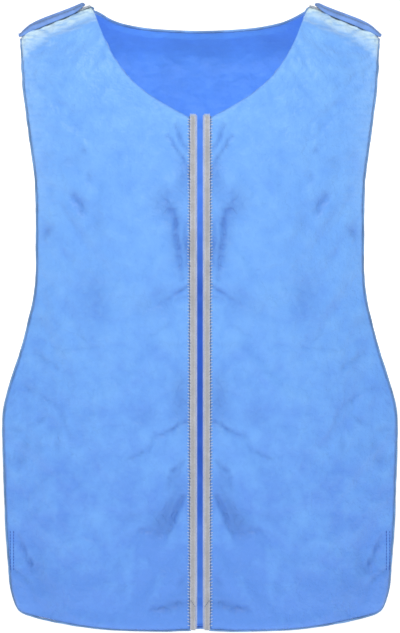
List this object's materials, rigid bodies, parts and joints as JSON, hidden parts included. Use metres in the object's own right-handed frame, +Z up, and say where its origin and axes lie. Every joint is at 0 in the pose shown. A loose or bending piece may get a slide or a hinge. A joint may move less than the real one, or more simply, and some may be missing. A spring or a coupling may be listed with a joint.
{
  "type": "cooling vest",
  "caption": "Sleeveless open-sided cooling vest of padded blue cloth with a grey taped front opening, shoulder tabs and elastic side straps.",
  "frame": {"origin": "middle of the shoulder line between the two shoulder seams, where a wearer's shoulders hold the vest", "axes": "+Z up, -Y out of the front opening, +X towards the wearer's left"},
  "size_m": [0.4414, 0.201, 0.7106],
  "materials": {
    "vest_cloth": "satin",
    "edge_binding": "satin",
    "grey_tape": "matte",
    "pale_lip": "satin",
    "tab_cloth": "satin",
    "grip_strip": "matte",
    "side_elastic": "matte"
  },
  "bodies": {
    "root": {"front_panel_left": "vest_cloth", "front_panel_right": "vest_cloth", "back_panel": "vest_cloth", "front_binding_left": "edge_binding", "front_binding_right": "edge_binding", "back_binding": "edge_binding", "neck_binding": "edge_binding", "front_tape_left": "grey_tape", "front_tape_right": "grey_tape", "tape_lip_left": "pale_lip", "tape_lip_right": "pale_lip", "tab_hook_left": "grip_strip", "tab_hook_right": "grip_strip", "shoulder_tab_left": "tab_cloth", "shoulder_tab_right": "tab_cloth", "side_strap_left": "side_elastic", "side_strap_right": "side_elastic"}
  },
  "joints": []
}
